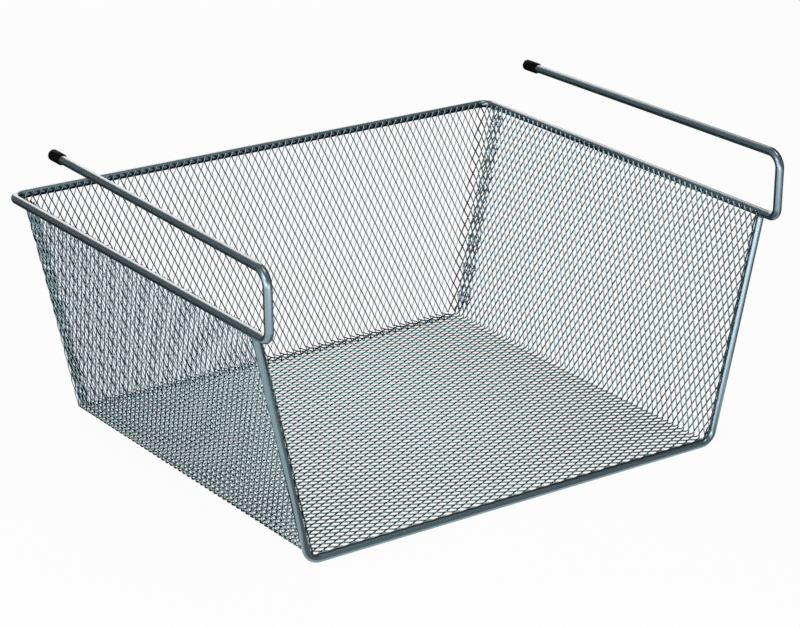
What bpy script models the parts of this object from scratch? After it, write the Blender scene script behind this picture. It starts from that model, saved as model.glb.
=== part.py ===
# Under shelf basket: two bent and welded wires, two sheets of expanded metal and two pushed-on caps.
# Metres, +Z up, +X to the right, open front towards -Y, standing on its lower front wire.
# The origin is on the ground, under the middle of the rim.

import math

import bmesh
import bpy
from mathutils import Vector

MM = 0.001

# Rim and hanger wire, between the wire's centre lines
RIM_WIRE_DIAMETER = 5.2 * MM
RIM_FRONT_WIDTH = 350 * MM
RIM_BACK_SPREAD = 6 * MM
RIM_DEPTH = 294 * MM
HANGER_RISE = 39 * MM
HANGER_FRONT_SPREAD = 1 * MM
ARM_TIP_TOE_IN = 5 * MM
ARM_TIP_DROP = 0.5 * MM
ARM_REACH = 244 * MM
BACK_BEND_RADIUS = 8 * MM
LOWER_BEND_RADIUS = 6 * MM
UPPER_BEND_RADIUS = 9 * MM

# Front frame wire
FRONT_WIRE_DIAMETER = 4.5 * MM
POST_SPREAD = 62 * MM
FRONT_DROP = 141 * MM
POST_SETBACK = 14 * MM
FRONT_SETBACK = 15 * MM
FRONT_BEND_RADIUS = 9 * MM

# Mesh sheets
SHEET_THICKNESS = 0.8 * MM
STRAND_WIDTH = 3.5 * MM
LONG_PITCH = 70 * MM
SHORT_PITCH = 33 * MM
FOLD_FRONT_INSET = 8 * MM
FOLD_BACK_SPREAD = 10 * MM
FLOOR_FRONT_RISE = 1.5 * MM
FLOOR_BACK_DROP = 1.0 * MM
SIDE_BACK_INSET = 15 * MM
BACK_LEAN = 5.5 * MM
BACK_CORNER_RADIUS = 8 * MM
SIDE_LAP_LENGTH = 10 * MM
BOTTOM_FLANGE_LENGTH = 10 * MM

# End caps
CAP_DIAMETER = 7.0 * MM
CAP_LENGTH = 12 * MM
CAP_END_THICKNESS = 1.4 * MM
CAP_EDGE_RADIUS = 1.0 * MM

# Fits
CLEARANCE = 0.3 * MM
WELD_GAP = 0.4 * MM
EDGE_GAP = 0.5 * MM
MERGE_DISTANCE = 0.01 * MM

# Facets
BEND_STEPS = 6
CORNER_STEPS = 4
WIRE_BEVEL_RESOLUTION = 4
CAP_SIDES = 16
CAP_EDGE_STEPS = 3
SHARP_EDGE_ANGLE = math.radians(30)

RIM_RADIUS = RIM_WIRE_DIAMETER / 2
FRONT_RADIUS = FRONT_WIRE_DIAMETER / 2
FRONT_Y = -RIM_DEPTH / 2
BACK_Y = RIM_DEPTH / 2
FRONT_WIRE_Z = FRONT_RADIUS
RIM_Z = FRONT_WIRE_Z + FRONT_DROP
HANGER_Z = RIM_Z + HANGER_RISE

# All the widths follow the width of the rim at the front
RIM_BACK_WIDTH = RIM_FRONT_WIDTH + RIM_BACK_SPREAD
HANGER_FRONT_WIDTH = RIM_FRONT_WIDTH + HANGER_FRONT_SPREAD
ARM_TIP_WIDTH = HANGER_FRONT_WIDTH - ARM_TIP_TOE_IN
FRONT_WIDTH = RIM_FRONT_WIDTH - POST_SPREAD
FLOOR_FRONT_WIDTH = FRONT_WIDTH - FOLD_FRONT_INSET
FLOOR_BACK_WIDTH = FLOOR_FRONT_WIDTH + FOLD_BACK_SPREAD

# The sheets lie beside the wires they are welded to, and over each other, with the clearance between
RIM_TO_SHEET = RIM_RADIUS + CLEARANCE + SHEET_THICKNESS / 2
LAP = SHEET_THICKNESS + CLEARANCE
FLOOR_FRONT_Y = FRONT_Y + FRONT_SETBACK + FRONT_RADIUS + CLEARANCE
BACK_TOP_Y = BACK_Y - RIM_TO_SHEET
BACK_FOOT_Y = BACK_TOP_Y - BACK_LEAN
FLOOR_BACK_Y = BACK_FOOT_Y - SHEET_THICKNESS / 2 - CLEARANCE
SIDE_BACK_Y = BACK_Y - SIDE_BACK_INSET
FLOOR_FRONT_Z = FRONT_WIRE_Z + FLOOR_FRONT_RISE
FLOOR_BACK_Z = FRONT_WIRE_Z - FLOOR_BACK_DROP


def clear_scene():
    for old in list(bpy.data.objects):
        bpy.data.objects.remove(old, do_unlink=True)


def material(name, colour, metallic, roughness):
    made = bpy.data.materials.new(name)
    made.use_nodes = True
    shader = made.node_tree.nodes["Principled BSDF"]
    shader.inputs["Base Color"].default_value = (*colour, 1.0)
    shader.inputs["Metallic"].default_value = metallic
    shader.inputs["Roughness"].default_value = roughness
    return made


def add(name, data, finish):
    thing = bpy.data.objects.new(name, data)
    data.materials.append(finish)
    bpy.context.collection.objects.link(thing)
    return thing


def mix(low, high, share):
    return low + (high - low) * share


def rounded(corners, radii):
    """The corners of a bent wire as points, each inner corner turned into an arc of its own radius."""
    points = [corners[0]]
    for before, corner, after, radius in zip(corners, corners[1:], corners[2:], radii):
        back = (before - corner).normalized()
        on = (after - corner).normalized()
        half_inner = back.angle(on) / 2
        reach = radius / math.tan(half_inner)
        centre = corner + (back + on).normalized() * (radius / math.sin(half_inner))
        start = corner + back * reach - centre
        end = corner + on * reach - centre
        turn = start.angle(end)
        for step in range(BEND_STEPS + 1):
            share = step / BEND_STEPS
            arm = start * math.sin((1 - share) * turn) + end * math.sin(share * turn)
            points.append(centre + arm / math.sin(turn))
    points.append(corners[-1])
    return points


def bent_wire(name, corners, radii, diameter, finish):
    curve = bpy.data.curves.new(name, "CURVE")
    curve.dimensions = "3D"
    curve.bevel_depth = diameter / 2
    curve.bevel_resolution = WIRE_BEVEL_RESOLUTION
    curve.use_fill_caps = True
    points = rounded(corners, radii)
    spline = curve.splines.new("POLY")
    spline.points.add(len(points) - 1)
    for slot, point in zip(spline.points, points):
        slot.co = (*point, 1.0)
        slot.tilt = 0.0
    return add(name, curve, finish)


def arm_corners(side):
    """The hanger's corners on one side (-1 left, 1 right), from the cap's closed end to the back bend."""
    tip = Vector((side * ARM_TIP_WIDTH / 2, FRONT_Y + ARM_REACH, HANGER_Z - ARM_TIP_DROP))
    upper = Vector((side * HANGER_FRONT_WIDTH / 2, FRONT_Y, HANGER_Z))
    lower = Vector((side * RIM_FRONT_WIDTH / 2, FRONT_Y, RIM_Z))
    back = Vector((side * RIM_BACK_WIDTH / 2, BACK_Y, RIM_Z))
    return tip, upper, lower, back


def hanger_rim_wire(finish):
    inside_cap = CAP_END_THICKNESS + CLEARANCE
    halves = []
    for side in (-1, 1):
        tip, upper, lower, back = arm_corners(side)
        wire_end = tip + (upper - tip).normalized() * inside_cap
        halves.append([wire_end, upper, lower, back])
    bends = [UPPER_BEND_RADIUS, LOWER_BEND_RADIUS, BACK_BEND_RADIUS]
    corners = halves[0] + halves[1][::-1]
    return bent_wire("hanger_rim_wire", corners, bends + bends[::-1], RIM_WIRE_DIAMETER, finish)


def post_top(side):
    share = POST_SETBACK / RIM_DEPTH
    x = side * mix(RIM_FRONT_WIDTH, RIM_BACK_WIDTH, share) / 2
    return Vector((x, FRONT_Y + POST_SETBACK, RIM_Z - RIM_RADIUS - WELD_GAP))


def post_foot(side):
    return Vector((side * FRONT_WIDTH / 2, FRONT_Y + FRONT_SETBACK, FRONT_WIRE_Z))


def front_frame_wire(finish):
    corners = [post_top(-1), post_foot(-1), post_foot(1), post_top(1)]
    radii = [FRONT_BEND_RADIUS, FRONT_BEND_RADIUS]
    return bent_wire("front_frame_wire", corners, radii, FRONT_WIRE_DIAMETER, finish)


def floor_z(y):
    share = (y - FLOOR_FRONT_Y) / (FLOOR_BACK_Y - FLOOR_FRONT_Y)
    return mix(FLOOR_FRONT_Z, FLOOR_BACK_Z, share)


def fold_x(y):
    """Half the width between the two folds of the main sheet, at a depth."""
    share = (y - FLOOR_FRONT_Y) / (FLOOR_BACK_Y - FLOOR_FRONT_Y)
    return mix(FLOOR_FRONT_WIDTH, FLOOR_BACK_WIDTH, share) / 2


def side_x(y, z):
    """Half the width between the middles of the two side walls, at a depth and a height."""
    share = (y - FRONT_Y) / RIM_DEPTH
    top = mix(RIM_FRONT_WIDTH, RIM_BACK_WIDTH, share) / 2 - RIM_TO_SHEET
    foot = floor_z(y)
    return mix(fold_x(y), top, (z - foot) / (RIM_Z - foot))


def back_y(z):
    return mix(BACK_FOOT_Y, BACK_TOP_Y, (z - FLOOR_BACK_Z) / (RIM_Z - FLOOR_BACK_Z))


def diamond_net(bm, width, height, long_way_up):
    """A flat net of diamond gaps on a width by height oblong, with its first corner on the origin."""
    pitch_x, pitch_y = (SHORT_PITCH, LONG_PITCH) if long_way_up else (LONG_PITCH, SHORT_PITCH)
    across = 2 * max(1, round(width / pitch_x))
    up = 2 * max(1, round(height / pitch_y))
    knots = {}
    for i in range(across + 1):
        for j in range(up + 1):
            if (i + j) % 2 == 0:
                knots[i, j] = bm.verts.new((width * i / across, height * j / up, 0))
    cells = []
    for i in range(across + 1):
        for j in range(up + 1):
            if (i + j) % 2 == 1:
                ring = [(i + 1, j), (i, j + 1), (i - 1, j), (i, j - 1)]
                cells.append(bm.faces.new([knots[spot] for spot in ring if spot in knots]))
    bm.normal_update()
    bmesh.ops.inset_individual(bm, faces=cells, thickness=STRAND_WIDTH / 2, use_even_offset=True)
    bmesh.ops.delete(bm, geom=cells, context="FACES")
    bmesh.ops.remove_doubles(bm, verts=bm.verts, dist=MERGE_DISTANCE)


def sheet_object(name, bm, finish):
    """The middle surface of a sheet as an object, with the sheet's thickness put on by Solidify."""
    mesh = bpy.data.meshes.new(name)
    bm.to_mesh(mesh)
    bm.free()
    thing = add(name, mesh, finish)
    skin = thing.modifiers.new("sheet thickness", "SOLIDIFY")
    skin.thickness = SHEET_THICKNESS
    skin.offset = 0
    skin.use_even_offset = True
    return thing


def floor_mesh(finish):
    bm = bmesh.new()
    depth = FLOOR_BACK_Y - FLOOR_FRONT_Y
    diamond_net(bm, FLOOR_FRONT_WIDTH, depth, long_way_up=False)
    for vert in bm.verts:
        share_x = vert.co.x / FLOOR_FRONT_WIDTH
        y = FLOOR_FRONT_Y + vert.co.y
        half = fold_x(y) + SHEET_THICKNESS / 2
        vert.co = (mix(-half, half, share_x), y, floor_z(y))
    return sheet_object("floor_mesh", bm, finish)


def side_mesh(name, side, finish):
    """One side wall. It stands on the floor and ends beside the rim, and its front edge leans back a
    little, so that its lower corner is behind the bend of the front frame wire."""
    bm = bmesh.new()
    front_top_y = FRONT_Y + POST_SETBACK
    depth = SIDE_BACK_Y - front_top_y
    height = RIM_Z - FLOOR_FRONT_Z
    diamond_net(bm, depth, height, long_way_up=True)
    for vert in bm.verts:
        share_y, share_z = vert.co.x / depth, vert.co.y / height
        front = mix(FLOOR_FRONT_Y + CLEARANCE, front_top_y, share_z)
        y = mix(front, SIDE_BACK_Y, share_y)
        foot = floor_z(y) + SHEET_THICKNESS / 2 + EDGE_GAP
        z = mix(foot, RIM_Z, share_z)
        vert.co = (side * side_x(y, z), y, z)
    bmesh.ops.recalc_face_normals(bm, faces=bm.faces)
    return sheet_object(name, bm, finish)


def back_corner_x(z):
    """Half the width of the flat of the back panel, between its two round corners."""
    return side_x(back_y(z) - BACK_CORNER_RADIUS, z) - LAP - BACK_CORNER_RADIUS


def back_corner_point(side, z, share):
    """A point of the round corner, from the back flat (share 0) to the side flange (share 1)."""
    turn = share * math.pi / 2
    x = back_corner_x(z) + BACK_CORNER_RADIUS * math.sin(turn)
    y = back_y(z) - BACK_CORNER_RADIUS * (1 - math.cos(turn))
    return Vector((side * x, y, z))


def flange_end_point(side, z):
    y = SIDE_BACK_Y - SIDE_LAP_LENGTH
    return Vector((side * (side_x(y, z) - LAP), y, z))


def back_mesh_panel(finish):
    bm = bmesh.new()
    foot_z = FLOOR_BACK_Z + LAP
    height = RIM_Z - foot_z
    flat_width = 2 * back_corner_x(RIM_Z)
    diamond_net(bm, flat_width, height, long_way_up=True)
    for vert in bm.verts:
        z = foot_z + vert.co.y
        half = back_corner_x(z)
        vert.co = (mix(-half, half, vert.co.x / flat_width), back_y(z), z)
    rim_edges = [edge for edge in bm.edges if edge.is_boundary]
    on_foot = [e for e in rim_edges if all(abs(v.co.z - foot_z) < CLEARANCE for v in e.verts)]
    for side in (-1, 1):
        edge_line = [
            e for e in rim_edges
            if all(abs(side * v.co.x - back_corner_x(v.co.z)) < CLEARANCE for v in e.verts)
        ]
        places = [
            lambda z, share=(step + 1) / CORNER_STEPS: back_corner_point(side, z, share)
            for step in range(CORNER_STEPS)
        ]
        places.append(lambda z: flange_end_point(side, z))
        for place in places:
            grown = bmesh.ops.extrude_edge_only(bm, edges=edge_line)["geom"]
            for vert in (g for g in grown if isinstance(g, bmesh.types.BMVert)):
                vert.co = place(vert.co.z)
            edge_line = [g for g in grown if isinstance(g, bmesh.types.BMEdge)]
    grown = bmesh.ops.extrude_edge_only(bm, edges=on_foot)["geom"]
    for vert in (g for g in grown if isinstance(g, bmesh.types.BMVert)):
        y = vert.co.y - BOTTOM_FLANGE_LENGTH
        vert.co = (vert.co.x, y, floor_z(y) + LAP)
    bmesh.ops.recalc_face_normals(bm, faces=bm.faces)
    return sheet_object("back_mesh_panel", bm, finish)


def end_cap(name, side, finish):
    """A cup turned round the arm's axis: its closed end is at +Z of the mesh, its bore takes the wire."""
    outer = CAP_DIAMETER / 2
    bore = RIM_RADIUS + CLEARANCE
    profile = [(0, 0)]
    for step in range(CAP_EDGE_STEPS + 1):
        turn = step / CAP_EDGE_STEPS * math.pi / 2
        across = outer - CAP_EDGE_RADIUS * (1 - math.sin(turn))
        profile.append((across, -CAP_EDGE_RADIUS * (1 - math.cos(turn))))
    profile += [(outer, -CAP_LENGTH), (bore, -CAP_LENGTH)]
    profile += [(bore, -CAP_END_THICKNESS), (0, -CAP_END_THICKNESS)]
    bm = bmesh.new()
    line = [bm.verts.new((x, 0, z)) for x, z in profile]
    edges = [bm.edges.new(pair) for pair in zip(line, line[1:])]
    bmesh.ops.spin(
        bm, geom=line + edges, cent=(0, 0, 0), axis=(0, 0, 1), angle=2 * math.pi,
        steps=CAP_SIDES, use_merge=True,
    )
    bmesh.ops.remove_doubles(bm, verts=bm.verts, dist=MERGE_DISTANCE)
    bmesh.ops.recalc_face_normals(bm, faces=bm.faces)
    mesh = bpy.data.meshes.new(name)
    bm.to_mesh(mesh)
    bm.free()
    mesh.shade_smooth()
    mesh.set_sharp_from_angle(angle=SHARP_EDGE_ANGLE)
    cap = add(name, mesh, finish)
    tip, upper, _, _ = arm_corners(side)
    cap.location = tip
    cap.rotation_euler = (tip - upper).to_track_quat("Z", "Y").to_euler()
    return cap


def main():
    clear_scene()
    wire_paint = material("wire_paint", (0.225, 0.325, 0.355), 1.0, 0.3)
    mesh_paint = material("mesh_paint", (0.115, 0.175, 0.187), 1.0, 0.26)
    cap_rubber = material("cap_rubber", (0.004, 0.004, 0.0042), 0.0, 0.5)
    hanger_rim_wire(wire_paint)
    front_frame_wire(wire_paint)
    floor_mesh(mesh_paint)
    side_mesh("left_wall_mesh", -1, mesh_paint)
    side_mesh("right_wall_mesh", 1, mesh_paint)
    back_mesh_panel(mesh_paint)
    end_cap("left_end_cap", -1, cap_rubber)
    end_cap("right_end_cap", 1, cap_rubber)


main()
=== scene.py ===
import math

import bmesh
import bpy
from mathutils import Matrix, Vector


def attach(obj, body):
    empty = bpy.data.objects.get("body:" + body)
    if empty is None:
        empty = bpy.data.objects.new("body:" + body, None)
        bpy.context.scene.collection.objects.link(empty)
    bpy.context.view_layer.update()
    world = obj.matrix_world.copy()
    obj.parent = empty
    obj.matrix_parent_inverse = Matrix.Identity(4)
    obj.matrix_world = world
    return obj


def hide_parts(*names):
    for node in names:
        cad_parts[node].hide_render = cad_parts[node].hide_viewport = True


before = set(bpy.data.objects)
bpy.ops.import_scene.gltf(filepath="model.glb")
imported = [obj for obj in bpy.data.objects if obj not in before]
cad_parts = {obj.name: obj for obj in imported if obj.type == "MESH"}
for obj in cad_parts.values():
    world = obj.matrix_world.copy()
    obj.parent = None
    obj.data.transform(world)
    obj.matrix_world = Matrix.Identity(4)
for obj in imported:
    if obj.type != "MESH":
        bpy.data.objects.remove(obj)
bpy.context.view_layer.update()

# Hanger and rim wire
# One 5.2 mm steel wire in satin slate grey paint. It hangs the basket on the shelf board and carries the
# mesh. It is bent all in one: left arm, riser and rim, the back rim, and the same on the right.
MM = 0.001
RIM_WIRE_RADIUS = 2.6 * MM
RIM_Z = 143.25 * MM
FRONT_Y = -147 * MM
BACK_Y = 147 * MM
RISER_X = 175 * MM
BACK_CORNER_X = 178 * MM
UPPER_BEND_X = 175.5 * MM
ARM_Z = 182.25 * MM
ARM_TIP = Vector((173 * MM, 97 * MM, 181.75 * MM))
ARM_END_IN_CAP = 1.7 * MM
BACK_BEND = 8 * MM
LOWER_BEND = 6 * MM
UPPER_BEND = 9 * MM
WIRE_SIDES = 32
STEPS_PER_BEND = 14
WIRE_PAINT_COLOUR = (0.225, 0.325, 0.355, 1)
WIRE_PAINT_ROUGHNESS = 0.3
FLAKE_TO_PEEL_HEIGHT = 0.15
SMOOTH_UP_TO = math.radians(40)


def start_wire(bm, start, towards, radius):
    """A closed round end at start, square to the way towards the next corner. Gives its ring of edges."""
    ring = bmesh.ops.create_circle(bm, cap_ends=True, segments=WIRE_SIDES, radius=radius)["verts"]
    turn = (towards - start).to_track_quat("Z", "Y").to_matrix()
    bmesh.ops.rotate(bm, verts=ring, cent=(0, 0, 0), matrix=turn)
    bmesh.ops.translate(bm, verts=ring, vec=start)
    return [edge for edge in bm.edges if all(vert in ring for vert in edge.verts)]


def run_straight(bm, ring, step):
    """Draws the ring on by one straight step, and gives the ring at its end."""
    grown = bmesh.ops.extrude_edge_only(bm, edges=ring)["geom"]
    verts = [part for part in grown if isinstance(part, bmesh.types.BMVert)]
    bmesh.ops.translate(bm, verts=verts, vec=step)
    return [part for part in grown if isinstance(part, bmesh.types.BMEdge)]


def bend_round(bm, ring, centre, axis, angle):
    """Draws the ring round a bend, and gives the ring at its end."""
    verts = list({vert for edge in ring for vert in edge.verts})
    turned = bmesh.ops.spin(
        bm, geom=verts + ring, cent=centre, axis=axis, angle=angle, steps=STEPS_PER_BEND
    )["geom_last"]
    return [part for part in turned if isinstance(part, bmesh.types.BMEdge)]


def bend_wire(corners, bend_radii, wire_radius):
    """A round wire from the first corner to the last, with each inner corner bent to its own radius."""
    bm = bmesh.new()
    ring = start_wire(bm, corners[0], corners[1], wire_radius)
    here = corners[0]
    for before, corner, after, bend in zip(corners, corners[1:], corners[2:], bend_radii):
        back = (before - corner).normalized()
        on = (after - corner).normalized()
        half_inner = back.angle(on) / 2
        reach = bend / math.tan(half_inner)
        centre = corner + (back + on).normalized() * (bend / math.sin(half_inner))
        ring = run_straight(bm, ring, corner + back * reach - here)
        ring = bend_round(bm, ring, centre, on.cross(back), math.pi - 2 * half_inner)
        here = corner + on * reach
    ring = run_straight(bm, ring, corners[-1] - here)
    bmesh.ops.contextual_create(bm, geom=ring)
    bmesh.ops.recalc_face_normals(bm, faces=bm.faces)
    return bm


def put_in_scene(name, bm, material):
    """Makes a finished shape an object of the scene, in its material."""
    mesh = bpy.data.meshes.new(name)
    bm.to_mesh(mesh)
    bm.free()
    mesh.materials.append(material)
    made = bpy.data.objects.new(name, mesh)
    bpy.context.scene.collection.objects.link(made)
    return made


def finish_piece(name, bm, material, replaced, smooth=True):
    """Hangs a finished shape on the part, with its paint and the plain solids that it stands for."""
    piece = put_in_scene(name, bm, material)
    if smooth:
        piece.data.shade_smooth()
        piece.data.set_sharp_from_angle(angle=SMOOTH_UP_TO)
    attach(piece, "root")
    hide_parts(*replaced)
    return piece


def math_node(nodes, links, operation, first, second, third=None):
    """One step of arithmetic on values that are sockets or plain numbers. Gives the result's socket."""
    node = nodes.new("ShaderNodeMath")
    node.operation = operation
    for socket, value in zip(node.inputs, (first, second, third)):
        if isinstance(value, bpy.types.NodeSocket):
            links.new(value, socket)
        elif value is not None:
            socket.default_value = value
    return node.outputs[0]


def satin_coating():
    """What a sprayed satin coat shows: slow changes of tone, fine flakes, and an orange peel skin."""
    group = bpy.data.node_groups.new("satin_coating", "ShaderNodeTree")
    inputs = (
        ("Colour", "NodeSocketColor"), ("Tone Change", "NodeSocketFloat"), ("Tone Size", "NodeSocketFloat"),
        ("Flake Change", "NodeSocketFloat"), ("Flake Size", "NodeSocketFloat"),
        ("Roughness", "NodeSocketFloat"), ("Roughness Change", "NodeSocketFloat"),
        ("Peel Size", "NodeSocketFloat"),
    )
    for name, kind in inputs:
        group.interface.new_socket(name=name, in_out="INPUT", socket_type=kind)
    for name, kind in (
        ("Colour", "NodeSocketColor"), ("Roughness", "NodeSocketFloat"), ("Height", "NodeSocketFloat")
    ):
        group.interface.new_socket(name=name, in_out="OUTPUT", socket_type=kind)
    nodes, links = group.nodes, group.links
    given = nodes.new("NodeGroupInput").outputs
    made = nodes.new("NodeGroupOutput").inputs
    place = nodes.new("ShaderNodeTexCoord").outputs["Object"]

    def pattern(kind, size, output):
        """A texture over the whole piece, as coarse as the named input says."""
        texture = nodes.new(kind)
        links.new(place, texture.inputs["Vector"])
        links.new(math_node(nodes, links, "DIVIDE", 1, given[size]), texture.inputs["Scale"])
        return texture.outputs[output]

    def around_one(value, change):
        """A factor that swings round 1 by the named input, as the value goes from 0 to 1."""
        doubled = math_node(nodes, links, "MULTIPLY", given[change], 2)
        low = math_node(nodes, links, "SUBTRACT", 1, given[change])
        return math_node(nodes, links, "MULTIPLY_ADD", value, doubled, low)

    tone = pattern("ShaderNodeTexNoise", "Tone Size", "Fac")
    peel = pattern("ShaderNodeTexNoise", "Peel Size", "Fac")
    flakes = nodes.new("ShaderNodeRGBToBW")
    links.new(pattern("ShaderNodeTexVoronoi", "Flake Size", "Color"), flakes.inputs[0])
    tone = around_one(tone, "Tone Change")
    sparkle = around_one(flakes.outputs[0], "Flake Change")
    strength = math_node(nodes, links, "MULTIPLY", tone, sparkle)
    toned = nodes.new("ShaderNodeVectorMath")
    toned.operation = "SCALE"
    links.new(given["Colour"], toned.inputs[0])
    links.new(strength, toned.inputs["Scale"])
    links.new(toned.outputs[0], made["Colour"])
    off_middle = math_node(nodes, links, "SUBTRACT", peel, 0.5)
    rough = math_node(
        nodes, links, "MULTIPLY_ADD", off_middle, given["Roughness Change"], given["Roughness"]
    )
    links.new(rough, made["Roughness"])
    height = math_node(nodes, links, "MULTIPLY_ADD", flakes.outputs[0], FLAKE_TO_PEEL_HEIGHT, peel)
    links.new(height, made["Height"])
    return group


coating = satin_coating()


def coated(name, metallic, bump_strength, bump_depth, **values):
    """A material under the satin coating, with the coating's own values given by name."""
    material = bpy.data.materials.new(name)
    material.use_nodes = True
    nodes, links = material.node_tree.nodes, material.node_tree.links
    shader = nodes["Principled BSDF"]
    shader.inputs["Metallic"].default_value = metallic
    coat = nodes.new("ShaderNodeGroup")
    coat.node_tree = coating
    for socket, value in values.items():
        coat.inputs[socket.replace("_", " ").title()].default_value = value
    skin = nodes.new("ShaderNodeBump")
    skin.inputs["Strength"].default_value = bump_strength
    skin.inputs["Distance"].default_value = bump_depth
    links.new(coat.outputs["Colour"], shader.inputs["Base Color"])
    links.new(coat.outputs["Roughness"], shader.inputs["Roughness"])
    links.new(coat.outputs["Height"], skin.inputs["Height"])
    links.new(skin.outputs["Normal"], shader.inputs["Normal"])
    return material


wire_paint = coated(
    "wire_paint", metallic=1, bump_strength=0.1, bump_depth=0.05 * MM,
    colour=WIRE_PAINT_COLOUR, tone_change=0.06, tone_size=30 * MM, flake_change=0.06, flake_size=0.25 * MM,
    roughness=WIRE_PAINT_ROUGHNESS, roughness_change=0.06, peel_size=1.6 * MM,
)


def mirrored(point):
    """The same point on the other side of the basket."""
    return Vector((-point.x, point.y, point.z))


upper_corner = Vector((UPPER_BEND_X, FRONT_Y, ARM_Z))
half_hanger = [
    ARM_TIP + (upper_corner - ARM_TIP).normalized() * ARM_END_IN_CAP,
    upper_corner,
    Vector((RISER_X, FRONT_Y, RIM_Z)),
    Vector((BACK_CORNER_X, BACK_Y, RIM_Z)),
]
half_bends = [UPPER_BEND, LOWER_BEND, BACK_BEND]
hanger = bend_wire(
    [mirrored(corner) for corner in half_hanger] + half_hanger[::-1],
    half_bends + half_bends[::-1],
    RIM_WIRE_RADIUS,
)
finish_piece("hanger_and_rim", hanger, wire_paint, ["hanger_rim_wire"])

# Front frame wire
# A thinner 4.5 mm wire in the same paint, bent to a wide U. Its bottom run is the lower front edge. Its
# leaning posts are coped to the underside of the rim, and each has a small weld bead round its top.
FRONT_WIRE_RADIUS = 2.25 * MM
FRONT_CORNER = Vector((144 * MM, -132 * MM, 2.25 * MM))
POST_TOP = Vector((175 * MM, -133 * MM, 140.4 * MM))
FRONT_BEND = 9 * MM
COPE_DEPTH = 0.3 * MM
COPE_REACH = 0.93
BEAD_RADIUS = 0.5 * MM
BEAD_SIDES = 8
BEAD_STEPS = 36
BEAD_RIPPLES = 11
BEAD_RIPPLE_HEIGHT = 0.07 * MM


def rim_height_at(x):
    """How far the underside of the rim lies above its lowest line, at x from the rim's own middle. Past
    the cope's reach, a share of the rim's radius, it stays level, because the rim turns upright there."""
    x = min(abs(x), COPE_REACH * RIM_WIRE_RADIUS)
    return RIM_WIRE_RADIUS - math.sqrt(RIM_WIRE_RADIUS ** 2 - x ** 2)


def post_bead(bm, side):
    """A rippled bead round the top of a post, which follows the underside of the rim."""
    ring = bmesh.ops.create_circle(bm, segments=BEAD_SIDES, radius=BEAD_RADIUS)["verts"]
    edges = list({edge for vert in ring for edge in vert.link_edges})
    upright = Matrix.Rotation(math.pi / 2, 3, "X")
    bmesh.ops.rotate(bm, verts=ring, cent=(0, 0, 0), matrix=upright)
    bmesh.ops.translate(bm, verts=ring, vec=(FRONT_WIRE_RADIUS, 0, 0))
    before = set(bm.verts) - set(ring)
    bmesh.ops.spin(
        bm, geom=ring + edges, cent=(0, 0, 0), axis=(0, 0, 1), angle=2 * math.pi, steps=BEAD_STEPS,
        use_merge=True,
    )
    for vert in set(bm.verts) - before:
        turn = math.atan2(vert.co.y, vert.co.x)
        ripple = 1 + BEAD_RIPPLE_HEIGHT * math.sin(BEAD_RIPPLES * turn) / FRONT_WIRE_RADIUS
        top_x = vert.co.x * ripple
        vert.co = Vector((
            side * (POST_TOP.x + top_x),
            POST_TOP.y + vert.co.y * ripple,
            POST_TOP.z + vert.co.z + rim_height_at(top_x),
        ))


frame_wire = bend_wire(
    [mirrored(POST_TOP), mirrored(FRONT_CORNER), FRONT_CORNER, POST_TOP],
    [FRONT_BEND, FRONT_BEND],
    FRONT_WIRE_RADIUS,
)
for vert in frame_wire.verts:
    if vert.co.z > POST_TOP.z - FRONT_WIRE_RADIUS:
        vert.co.z = POST_TOP.z + COPE_DEPTH + rim_height_at(abs(vert.co.x) - POST_TOP.x)
for side in (-1, 1):
    post_bead(frame_wire, side)
bmesh.ops.recalc_face_normals(frame_wire, faces=frame_wire.faces)
finish_piece("front_frame", frame_wire, wire_paint, ["front_frame_wire"])

# Main mesh sheet
# One sheet of raised expanded steel, slit and drawn out in one stroke, then folded up along two lines. It
# is the floor and both side walls. Thin wavy selvages close its cells along the front, where it is welded
# to the front wire.
LONG_PITCH = 10 * MM
SHORT_PITCH = 5 * MM
STRAND_WIDTH = 0.42 * MM
SHEET_GAUGE = 0.82 * MM
STRAND_TILT = math.radians(50)
KNUCKLE = 0.3 * MM
SELVAGE_WIDTH = 0.5 * MM
SELVAGE_WAVE = 0.6 * MM
LEFT_EDGE_Y = -132.4 * MM
RIGHT_EDGE_Y = -133 * MM
FLOOR_EDGE_Y = -132.2 * MM
FLOOR_EDGE_LIFT = 1.2 * MM
SAME_POINT = 0.01 * MM
LEAST_SCRAP_FACES = 12
FLOOR_FRONT = Vector((140.8 * MM, -130 * MM, 3.6 * MM))
FLOOR_BACK = Vector((145 * MM, 137.3 * MM, 1.25 * MM))
WALL_TOP_FRONT = Vector((172.2 * MM, -135.2 * MM, 144.75 * MM))
WALL_TOP_BACK = Vector((174.9 * MM, 132 * MM, 144.75 * MM))
FOLD_RADIUS = 1.5 * MM
FOLD_STEPS = 3
# Painted shade: the mesh paint is the wire paint darkened to about half, so that the thin strands read
# darker. The real mesh wears the same paint as the wires.
MESH_PAINT_SHADED_COLOUR = (0.115, 0.175, 0.187, 1)
MESH_PAINT_ROUGHNESS = 0.26


def drawn_strip(bm, periods, across, foot, peak):
    """One slit strip of the sheet, drawn out to a wave along X. Across is its width and tilt. Foot and
    peak are where its lower edge lies at the knuckles, where it stays joined to the next strips."""
    corners = (-KNUCKLE / 2, KNUCKLE / 2, (LONG_PITCH - KNUCKLE) / 2, (LONG_PITCH + KNUCKLE) / 2)
    per_wave = len(corners)
    verts = bmesh.ops.create_grid(bm, x_segments=per_wave * periods, y_segments=1, size=0.5)["verts"]
    for vert in verts:
        period, corner = divmod(round((vert.co.x + 0.5) * per_wave * periods), per_wave)
        upper = across if vert.co.y > 0 else Vector()
        level = peak if corner > 1 else foot
        vert.co = Vector((period * LONG_PITCH + corners[corner], 0, 0)) + level + upper
    return verts


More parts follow.
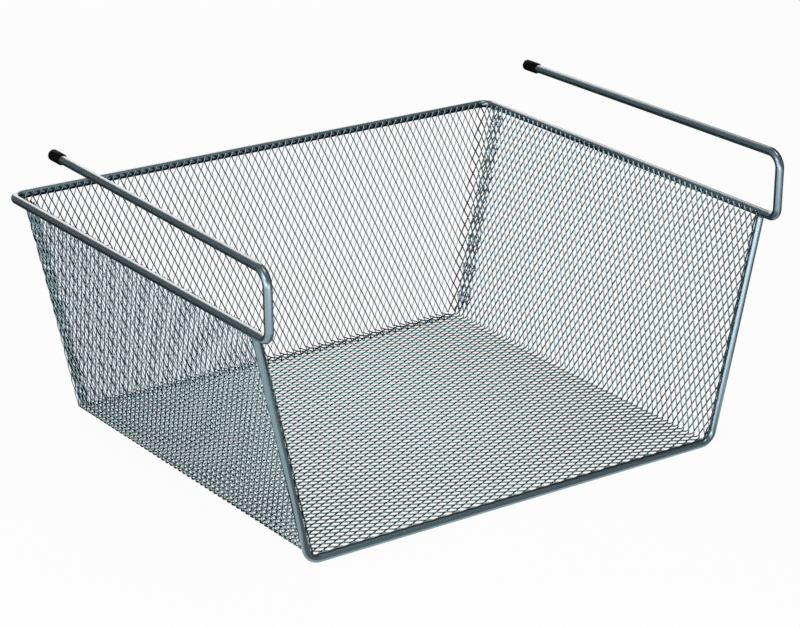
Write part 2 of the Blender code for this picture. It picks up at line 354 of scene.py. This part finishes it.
def expanded_metal(length, width, tilt):
    """Strips side by side, joined at their knuckles, over at least the length in X and width in Y. The
    first one has its feet on the X axis."""
    bm = bmesh.new()
    periods = math.ceil(length / LONG_PITCH) + 2
    strand = Vector((0, math.cos(tilt), math.sin(tilt))) * STRAND_WIDTH
    drawn_strip(bm, periods, strand, Vector(), Vector((0, SHORT_PITCH / 2, 0)) - strand)
    rows = 1
    while (rows - 1) * SHORT_PITCH / 2 < width:
        copied = bmesh.ops.duplicate(bm, geom=bm.verts[:] + bm.edges[:] + bm.faces[:])["geom"]
        verts = [part for part in copied if isinstance(part, bmesh.types.BMVert)]
        sideways = LONG_PITCH / 2 if rows == 1 else 0
        bmesh.ops.translate(bm, verts=verts, vec=(sideways, rows * SHORT_PITCH / 2, 0))
        rows *= 2
    bmesh.ops.remove_doubles(bm, verts=bm.verts, dist=SAME_POINT)
    bmesh.ops.translate(bm, verts=bm.verts, vec=(-LONG_PITCH, 0, 0))
    return bm


def score(bm, point, across):
    """A line of vertices through every strand that crosses the plane, for a bend to follow."""
    everything = bm.verts[:] + bm.edges[:] + bm.faces[:]
    bmesh.ops.bisect_plane(bm, geom=everything, plane_co=point, plane_no=across)


def shear_off(bm, point, outward, faces=None):
    """Cuts away what lies beyond the plane, from the given faces or from all of them."""
    faces = faces or bm.faces[:]
    edges = list({edge for face in faces for edge in face.edges})
    verts = list({vert for face in faces for vert in face.verts})
    bmesh.ops.bisect_plane(
        bm, geom=verts + edges + faces, plane_co=point, plane_no=outward, clear_outer=True,
    )


def add_selvage(bm, start, end):
    """The thin wavy border that closes the cells along an edge of the flat sheet."""
    run = end - start
    across = Vector((0, SELVAGE_WIDTH, 0))
    wave = Vector((0, SELVAGE_WAVE, 0))
    verts = drawn_strip(bm, math.ceil(run.length / LONG_PITCH), across, Vector(), wave)
    turned = Matrix.Rotation(math.atan2(run.y, run.x), 4, "Z")
    bmesh.ops.transform(bm, matrix=Matrix.Translation(start) @ turned, verts=verts)


def drop_scraps(bm):
    """Takes away the loose scraps that a shear leaves beyond the last knuckles."""
    left = set(bm.faces)
    scraps = []
    while left:
        island = [left.pop()]
        for face in island:
            for edge in face.edges:
                for other in edge.link_faces:
                    if other in left:
                        left.discard(other)
                        island.append(other)
        if len(island) < LEAST_SCRAP_FACES:
            scraps += island
    bmesh.ops.delete(bm, geom=scraps, context="FACES")


# In the flat sheet X is 0 in the middle and Y is 0 where the folds start. They run a little outwards.
fold_depth = (FLOOR_BACK - FLOOR_FRONT).yz.length
fold_spread = FLOOR_BACK.x - FLOOR_FRONT.x
fold_length = math.hypot(fold_depth, fold_spread)
wall_height_front = (WALL_TOP_FRONT - FLOOR_FRONT).xz.length
wall_height_back = (WALL_TOP_BACK - FLOOR_BACK).xz.length
fold_angle = math.atan2(WALL_TOP_BACK.z - FLOOR_BACK.z, WALL_TOP_BACK.x - FLOOR_BACK.x)
fold_tangent = FOLD_RADIUS * math.tan(fold_angle / 2)
fold_arc = FOLD_RADIUS * fold_angle
# a bend takes this much less sheet than the sharp corner in its place
fold_saving = 2 * fold_tangent - fold_arc


def square_to(way, side):
    """The way square to another in a flat sheet, to the right of it for side 1, to the left for -1."""
    return Vector((side * way.y, -side * way.x, 0))


def flat_fold(side):
    """The start of one fold in the flat sheet, the way along it and the way across it, outwards."""
    start = Vector((side * FLOOR_FRONT.x, 0, 0))
    along = Vector((side * fold_spread, fold_depth, 0)) / fold_length
    return start, along, square_to(along, side)


def flat_wall_top(side):
    """The front and the back end of the top edge of one wall, in the flat sheet."""
    start, along, outwards = flat_fold(side)
    front = start + outwards * (wall_height_front - fold_saving)
    back = start + along * fold_length + outwards * (wall_height_back - fold_saving)
    return front, back


def folded_up(flat):
    """Where a point of the flat sheet lies on the folded one. The bend is an arc between the floor and
    the wall, and it starts one tangent length before the corner that they would make."""
    side = 1 if flat.x > 0 else -1
    start, along, outwards = flat_fold(side)
    from_start = Vector((flat.x, flat.y, 0)) - start
    beyond = from_start.dot(outwards) + fold_tangent
    back = (FLOOR_BACK - FLOOR_FRONT) * Vector((0, 1, 1)) / fold_depth
    floor_up = Vector((0, -back.z, back.y))
    if beyond <= 0:
        on_floor = Vector((flat.x, FLOOR_FRONT.y, FLOOR_FRONT.z)) + back * flat.y
        return on_floor + floor_up * flat.z
    share = from_start.dot(along) / fold_length
    corner = FLOOR_FRONT.lerp(FLOOR_BACK, share)
    up_wall = (WALL_TOP_FRONT.lerp(WALL_TOP_BACK, share) - corner).normalized()
    out = Vector((1, 0, 0))
    turn = min(beyond / FOLD_RADIUS, fold_angle)
    square_up = (up_wall - out * up_wall.dot(out)).normalized()
    bend_centre = corner - out * fold_tangent + square_up * FOLD_RADIUS
    on_arc = out * math.sin(turn) - square_up * math.cos(turn)
    place = bend_centre + on_arc * (FOLD_RADIUS - flat.z)
    place += up_wall * max(beyond - fold_arc, 0)
    return Vector((side * place.x, place.y, place.z))


def main_sheet():
    """The floor and both walls: drawn out flat, trimmed and bordered, then scored and folded up."""
    reach = FLOOR_BACK.x + wall_height_back
    half_periods = math.ceil(reach / LONG_PITCH)
    bm = expanded_metal(2 * half_periods * LONG_PITCH, fold_depth + SHORT_PITCH, -STRAND_TILT)
    # the middle line of the sheet falls half way along a strand, and one more row runs on forwards
    offset = Vector((LONG_PITCH / 4 - half_periods * LONG_PITCH, -SHORT_PITCH, 0))
    bmesh.ops.translate(bm, verts=bm.verts, vec=offset)
    edge_lines = []
    for side, edge_y in ((-1, LEFT_EDGE_Y), (1, RIGHT_EDGE_Y)):
        low_edge = Vector((side * FLOOR_FRONT.x, edge_y - FLOOR_FRONT.y, 0))
        high_edge = flat_wall_top(side)[0] + Vector((0, edge_y - WALL_TOP_FRONT.y, 0))
        up_edge = (high_edge - low_edge).normalized()
        shear_off(bm, low_edge, square_to(up_edge, side))
        edge_lines.append((low_edge, high_edge) if side > 0 else (high_edge, low_edge))
    floor_edge = Vector((FLOOR_FRONT.x, FLOOR_EDGE_Y - FLOOR_FRONT.y, 0))
    floor_faces = [face for face in bm.faces if abs(face.calc_center_median().x) < FLOOR_FRONT.x]
    shear_off(bm, floor_edge, Vector((0, -1, 0)), floor_faces)
    # on the floor the border rests on top of the front wire
    lifted = floor_edge + Vector((0, 0, FLOOR_EDGE_LIFT))
    edge_lines.append((lifted * Vector((-1, 1, 1)), lifted))
    for left, right in edge_lines:
        add_selvage(bm, left, right)
    for side in (-1, 1):
        start, along, outwards = flat_fold(side)
        for step in range(FOLD_STEPS + 1):
            score(bm, start + outwards * (fold_arc * step / FOLD_STEPS - fold_tangent), outwards)
        top_front, top_back = flat_wall_top(side)
        shear_off(bm, top_front, square_to((top_back - top_front).normalized(), side))
    shear_off(bm, Vector((0, fold_depth, 0)), Vector((0, 1, 0)))
    drop_scraps(bm)
    for vert in bm.verts:
        vert.co = folded_up(vert.co)
    return bm


# Painted shade: a darker copy of the wire paint, which stands in for the shade and dark reflections on the
# thin strands.
mesh_paint = coated(
    "mesh_paint", metallic=1, bump_strength=0.35, bump_depth=0.05 * MM,
    colour=MESH_PAINT_SHADED_COLOUR, tone_change=0.15, tone_size=18 * MM, flake_change=0.15, flake_size=0.25 * MM,
    roughness=MESH_PAINT_ROUGHNESS, roughness_change=0.15, peel_size=1.2 * MM,
)


def give_gauge(piece):
    """The thickness of the sheet, on both sides of its middle."""
    gauge = piece.modifiers.new("gauge", "SOLIDIFY")
    gauge.thickness = SHEET_GAUGE
    gauge.offset = 0


give_gauge(finish_piece(
    "main_mesh_sheet", main_sheet(), mesh_paint,
    ["floor_mesh", "left_wall_mesh", "right_wall_mesh"], smooth=False,
))

# Back mesh panel
# A second sheet of the same mesh, with the long way of its diamonds upright. It goes round both back
# corners and laps inside the walls, and its lower edge is folded forwards on to the floor.
BACK_TOP = Vector((0, 143.9 * MM, 145 * MM))
BACK_FOOT = Vector((0, 138.1 * MM, 2.4 * MM))
BACK_CORNER_BEND = 4.5 * MM
BACK_CORNER_STEPS = 5
FLANGE_END_Y = 122 * MM
BOTTOM_FLANGE = 10 * MM
BOTTOM_FLANGE_LIFT = 0.3 * MM
# half the width of the plain middle part, between the bends at the corners
BACK_FLAT_TOP = 168.7 * MM
BACK_FLAT_FOOT = 139.3 * MM

# In the flat panel X runs up from the foot and Y from left to right, with 0 in the middle.
panel_height = (BACK_TOP - BACK_FOOT).length
panel_up = (BACK_TOP - BACK_FOOT) / panel_height
corner_length = math.hypot(panel_height, BACK_FLAT_TOP - BACK_FLAT_FOOT)
corner_arc = BACK_CORNER_BEND * math.pi / 2


def flat_corner(side):
    """The foot of one upright bend in the flat panel, the way along it and the way out across it."""
    foot = Vector((0, side * BACK_FLAT_FOOT, 0))
    along = Vector((panel_height, side * (BACK_FLAT_TOP - BACK_FLAT_FOOT), 0)) / corner_length
    return foot, along, square_to(along, -side)


def bent_round(flat):
    """Where a point of the flat panel lies once its corners and its lower flange are bent."""
    side = 1 if flat.y > 0 else -1
    foot, along, outwards = flat_corner(side)
    from_foot = Vector((flat.x, flat.y, 0)) - foot
    beyond = from_foot.dot(outwards)
    if flat.x < 0:
        return Vector((flat.y, BACK_FOOT.y + flat.x, BACK_FOOT.z + BOTTOM_FLANGE_LIFT + flat.z))
    if beyond <= 0:
        place = BACK_FOOT + panel_up * flat.x + Vector((0, -panel_up.z, panel_up.y)) * flat.z
        return Vector((flat.y, place.y, place.z))
    axis_foot = Vector((BACK_FLAT_FOOT, BACK_FOOT.y, BACK_FOOT.z))
    axis_top = Vector((BACK_FLAT_TOP, BACK_TOP.y, BACK_TOP.z))
    axis = (axis_top - axis_foot).normalized()
    sideways = Vector((axis.z, 0, -axis.x)).normalized()
    back = sideways.cross(axis)
    back *= math.copysign(1, back.y)
    turn = min(beyond / BACK_CORNER_BEND, math.pi / 2)
    on_axis = axis_foot.lerp(axis_top, from_foot.dot(along) / corner_length)
    centre = on_axis - back * BACK_CORNER_BEND
    arm = sideways * math.sin(turn) + back * math.cos(turn)
    onwards = sideways * math.cos(turn) - back * math.sin(turn)
    place = centre + arm * (BACK_CORNER_BEND - flat.z) + onwards * max(beyond - corner_arc, 0)
    return Vector((side * place.x, place.y, place.z))


def back_panel():
    """The back and its laps: drawn out flat, scored and trimmed, then bent round the corners."""
    reach = BACK_FLAT_TOP + corner_arc + BACK_TOP.y - FLANGE_END_Y
    rows = 2 * math.ceil(reach / SHORT_PITCH)
    bm = expanded_metal(panel_height + BOTTOM_FLANGE, rows * SHORT_PITCH, STRAND_TILT)
    bmesh.ops.translate(bm, verts=bm.verts, vec=(-BOTTOM_FLANGE, -rows * SHORT_PITCH / 2, 0))
    for side in (-1, 1):
        foot, along, outwards = flat_corner(side)
        for step in range(BACK_CORNER_STEPS + 1):
            score(bm, foot + outwards * (corner_arc * step / BACK_CORNER_STEPS), outwards)
        lap_foot = BACK_FOOT.y - BACK_CORNER_BEND - FLANGE_END_Y
        lap_top = BACK_TOP.y - BACK_CORNER_BEND - FLANGE_END_Y
        edge_foot = foot + outwards * (corner_arc + lap_foot)
        edge_top = foot + along * corner_length + outwards * (corner_arc + lap_top)
        shear_off(bm, edge_foot, square_to((edge_top - edge_foot).normalized(), -side))
        shear_off(bm, foot + along * corner_length, along)
    # the lower flange folds along X 0, and it ends where the corners begin
    score(bm, Vector((0, 0, 0)), Vector((1, 0, 0)))
    shear_off(bm, Vector((panel_height, 0, 0)), Vector((1, 0, 0)))
    shear_off(bm, Vector((-BOTTOM_FLANGE, 0, 0)), Vector((-1, 0, 0)))
    middles = {face: face.calc_center_median() for face in bm.faces}
    beyond_flange = [
        face for face, middle in middles.items() if middle.x < 0 and abs(middle.y) > BACK_FLAT_FOOT
    ]
    bmesh.ops.delete(bm, geom=beyond_flange, context="FACES")
    drop_scraps(bm)
    for vert in bm.verts:
        vert.co = bent_round(vert.co)
    return bm


give_gauge(finish_piece(
    "back_panel", back_panel(), mesh_paint, ["back_mesh_panel"], smooth=False
))

# End caps
# Soft black plastic cups, moulded with a rounded end and pushed on the tips of the arms. They keep the
# wire from marking the shelf, and grip by their stretch alone.
CAP_RADIUS = 3.5 * MM
CAP_LENGTH = 12 * MM
CAP_BORE = 2.7 * MM
CAP_BORE_DEPTH = 10.6 * MM
CAP_EDGE = 1 * MM
CAP_EDGE_STEPS = 5
CAP_MOUTH_EDGE = 0.25 * MM
CAP_MOUTH_STEPS = 2
CAP_SIDES = 40
CAP_COLOUR = (0.004, 0.004, 0.0042, 1)
CAP_ROUGHNESS = 0.5
CAP_GLOSS = 0.02
cap_rubber = coated(
    "cap_rubber", metallic=0, bump_strength=0.15, bump_depth=0.05 * MM,
    colour=CAP_COLOUR, tone_change=0.15, tone_size=5 * MM, flake_change=0.1, flake_size=0.4 * MM,
    roughness=CAP_ROUGHNESS, roughness_change=0.12, peel_size=0.7 * MM,
)
cap_rubber.node_tree.nodes["Principled BSDF"].inputs["Specular IOR Level"].default_value = CAP_GLOSS


def end_cap(side):
    """One cap, made upright with its mouth down, then laid on the tip of its arm."""
    bm = bmesh.new()
    bmesh.ops.create_cone(
        bm, cap_ends=True, segments=CAP_SIDES, radius1=CAP_RADIUS, radius2=CAP_RADIUS, depth=CAP_LENGTH
    )
    bmesh.ops.translate(bm, verts=bm.verts, vec=(0, 0, -CAP_LENGTH / 2))
    mouth = min(bm.faces, key=lambda face: face.calc_center_median().z)
    bmesh.ops.inset_region(bm, faces=[mouth], thickness=CAP_RADIUS - CAP_BORE)
    bore = bmesh.ops.extrude_discrete_faces(bm, faces=[mouth])["faces"]
    bmesh.ops.translate(bm, verts=bore[0].verts, vec=(0, 0, CAP_BORE_DEPTH))
    round_end = [edge for edge in bm.edges if all(vert.co.z > -SAME_POINT for vert in edge.verts)]
    bmesh.ops.bevel(
        bm, geom=round_end, offset=CAP_EDGE, offset_type="OFFSET", affect="EDGES",
        segments=CAP_EDGE_STEPS, profile=0.5, material=-1,
    )
    mouth_edges = [
        edge for edge in bm.edges
        if all(vert.co.z < SAME_POINT - CAP_LENGTH and vert.co.xy.length > CAP_RADIUS - SAME_POINT
               for vert in edge.verts)
    ]
    bmesh.ops.bevel(
        bm, geom=mouth_edges, offset=CAP_MOUTH_EDGE, offset_type="OFFSET", affect="EDGES",
        segments=CAP_MOUTH_STEPS, profile=0.5, material=-1,
    )
    along_arm = (ARM_TIP - upper_corner).to_track_quat("Z", "Y").to_matrix()
    bmesh.ops.rotate(bm, verts=bm.verts, cent=(0, 0, 0), matrix=along_arm)
    bmesh.ops.translate(bm, verts=bm.verts, vec=ARM_TIP)
    bmesh.ops.scale(bm, verts=bm.verts, vec=(side, 1, 1))
    bmesh.ops.recalc_face_normals(bm, faces=bm.faces)
    return bm


finish_piece("left_cap", end_cap(-1), cap_rubber, ["left_end_cap"])
finish_piece("right_cap", end_cap(1), cap_rubber, ["right_end_cap"])

# Floor
# A wide sheet of white paper, on which the basket stands. The camera, gloss and glass see most of it as
# evenly lit, and the small share that is left of plain paper keeps a faint shadow.
FLOOR_SIZE = 12
PAPER_SHADE = 0.85
GLOW_SHARE = 0.95


def white_paper():
    """Matt white paper that glows for the camera, gloss and glass, and for no other light."""
    material = bpy.data.materials.new("white_paper")
    material.use_nodes = True
    nodes, links = material.node_tree.nodes, material.node_tree.links
    paper = nodes["Principled BSDF"]
    paper.inputs["Base Color"].default_value = (PAPER_SHADE, PAPER_SHADE, PAPER_SHADE, 1)
    paper.inputs["Roughness"].default_value = 1
    paper.inputs["Specular IOR Level"].default_value = 0
    ray = nodes.new("ShaderNodeLightPath").outputs
    seen = math_node(nodes, links, "MAXIMUM", ray["Is Camera Ray"], ray["Is Glossy Ray"])
    seen = math_node(nodes, links, "MAXIMUM", seen, ray["Is Transmission Ray"])
    mixed = nodes.new("ShaderNodeMixShader")
    links.new(math_node(nodes, links, "MULTIPLY", seen, GLOW_SHARE), mixed.inputs[0])
    links.new(paper.outputs[0], mixed.inputs[1])
    links.new(nodes.new("ShaderNodeEmission").outputs[0], mixed.inputs[2])
    links.new(mixed.outputs[0], nodes["Material Output"].inputs["Surface"])
    return material


def stage_card(name, width, height, material, place=None):
    """A flat card of the studio, lying at the origin or set at its own place."""
    bm = bmesh.new()
    bmesh.ops.create_grid(bm, x_segments=1, y_segments=1, size=0.5)
    bmesh.ops.scale(bm, verts=bm.verts, vec=(width, height, 1))
    if place is not None:
        bmesh.ops.transform(bm, matrix=place, verts=bm.verts)
    card = put_in_scene(name, bm, material)
    return card


stage_card("floor", FLOOR_SIZE, FLOOR_SIZE, white_paper())

# Studio light
# Six softboxes and a dim cool room. Seven dark cards, seen by gloss alone, draw the dark edges of the
# bright metal and leave one way of the strands dark against the other.
ROOM_COLOUR = (0.9, 0.95, 1, 1)
ROOM_LEVEL = 0.32
LIGHT_AIM = Vector((0, 0, 0.1))
BLACK_SHADE = 0.02
GREY_SHADE = 0.3
CARD_LIFT = 0.5 * MM
room = bpy.data.worlds.new("studio")
bpy.context.scene.world = room
room.use_nodes = True
room.node_tree.nodes["Background"].inputs["Color"].default_value = ROOM_COLOUR
room.node_tree.nodes["Background"].inputs["Strength"].default_value = ROOM_LEVEL


def softbox(name, azimuth, elevation, distance, size, radiance, colour):
    """A rectangular lamp that looks at the basket. Its direction is in degrees, its distance and its
    size are in metres, and radiance is how bright its face is."""
    azimuth, elevation = math.radians(azimuth), math.radians(elevation)
    level = math.cos(elevation)
    way = Vector((math.cos(azimuth) * level, math.sin(azimuth) * level, math.sin(elevation)))
    lamp = bpy.data.lights.new(name, "AREA")
    lamp.shape = "RECTANGLE"
    lamp.size, lamp.size_y = size
    lamp.energy = radiance * size[0] * size[1] * math.pi
    lamp.color = colour
    box = bpy.data.objects.new(name, lamp)
    box.location = LIGHT_AIM + way * distance
    box.rotation_euler = way.to_track_quat("Z", "Y").to_euler()
    box.visible_camera = False
    bpy.context.scene.collection.objects.link(box)


softbox("key", 202, 26, 1.6, (0.85, 0.5), 5.2, (1, 0.9, 0.96))
softbox("low_key", 200, 3, 1.3, (1.5, 0.3), 3.5, (1, 0.92, 0.96))
softbox("post_light", 230, 5, 1.4, (0.45, 0.4), 2.7, (1, 0.86, 0.95))
softbox("front", 258, 1, 0.78, (0.45, 0.22), 3.2, (0.98, 0.93, 1))
softbox("behind", 68, 22, 3, (2.1, 2.1), 2.5, (1, 0.78, 0.74))
softbox("overhead", 296, 75, 1.8, (0.45, 0.6), 5.2, (1, 0.92, 0.88))


def card_paper(name, shade):
    """Plain paper of one even shade."""
    paper = bpy.data.materials.new(name)
    paper.use_nodes = True
    paper.node_tree.nodes["Principled BSDF"].inputs["Base Color"].default_value = (shade, shade, shade, 1)
    return paper


black_card = card_paper("black_card", BLACK_SHADE)
grey_card = card_paper("grey_card", GREY_SHADE)


def gloss_card(name, width, height, material, place):
    """A dark card that only gloss sees."""
    card = stage_card(name, width, height, material, place)
    for ray in ("camera", "diffuse", "transmission", "shadow"):
        setattr(card, "visible_" + ray, False)


def standing_card(name, left, right, height, material):
    """A card that stands on the floor from left to right."""
    run = Vector((right[0] - left[0], right[1] - left[1], 0))
    along = run.normalized()
    up = Vector((0, 0, 1))
    turned = Matrix((along, up, along.cross(up))).transposed().to_4x4()
    middle = Vector(((left[0] + right[0]) / 2, (left[1] + right[1]) / 2, height / 2))
    gloss_card(name, run.length, height, material, Matrix.Translation(middle) @ turned)


def lying_card(name, left, right, material):
    """A card that lies just clear of the floor between two opposite corners."""
    middle = Vector(((left[0] + right[0]) / 2, (left[1] + right[1]) / 2, CARD_LIFT))
    gloss_card(name, right[0] - left[0], right[1] - left[1], material, Matrix.Translation(middle))


standing_card("back_left_card", (-1.25, 1), (0, 1.2), 1.15, grey_card)
standing_card("right_card", (0.75, -0.4), (0.62, 0.33), 0.85, black_card)
standing_card("front_right_card", (0.45, -0.8), (0.76, -0.38), 1.3, grey_card)
lying_card("under_card", (-0.2, -0.11), (0.6, 1.2), black_card)
lying_card("behind_card", (-1, 0.05), (-0.2, 1.2), black_card)
lying_card("front_card", (-0.16, -0.34), (0.16, -0.137), grey_card)
lying_card("right_floor_card", (0.24, -0.45), (0.9, -0.11), grey_card)

# Camera
# It stands a metre and a half off the front left corner and looks down at 21 degrees, with a long lens.
# Its angles are in radians, its place is in metres, and the lens is given in pixels of the photograph.
CAMERA_YAW = 0.59587
CAMERA_PITCH = 0.37114
CAMERA_ROLL = -0.00302
CAMERA_PLACE = Vector((-0.82257, -1.22191, 0.63741))
FOCAL_PIXELS = 2599.17
PRINCIPAL_PIXEL = (399.219, 330.305)
IMAGE_PIXELS = (800, 627)
SENSOR_WIDTH = 36
NEAREST_SEEN = 10 * MM
lens = bpy.data.cameras.new("camera")
lens.sensor_fit = "HORIZONTAL"
lens.sensor_width = SENSOR_WIDTH
lens.lens = FOCAL_PIXELS * SENSOR_WIDTH / IMAGE_PIXELS[0]
lens.shift_x = (IMAGE_PIXELS[0] / 2 - PRINCIPAL_PIXEL[0]) / IMAGE_PIXELS[0]
lens.shift_y = (PRINCIPAL_PIXEL[1] - IMAGE_PIXELS[1] / 2) / IMAGE_PIXELS[0]
lens.clip_start = NEAREST_SEEN
camera = bpy.data.objects.new("camera", lens)
bpy.context.scene.collection.objects.link(camera)
sight = Vector((
    math.sin(CAMERA_YAW) * math.cos(CAMERA_PITCH),
    math.cos(CAMERA_YAW) * math.cos(CAMERA_PITCH),
    -math.sin(CAMERA_PITCH),
))
upright = sight.to_track_quat("-Z", "Y").to_matrix()
camera.location = CAMERA_PLACE
camera.rotation_euler = (upright @ Matrix.Rotation(CAMERA_ROLL, 3, "Z")).to_euler()
bpy.context.scene.camera = camera
bpy.context.scene.view_settings.view_transform = "Standard"
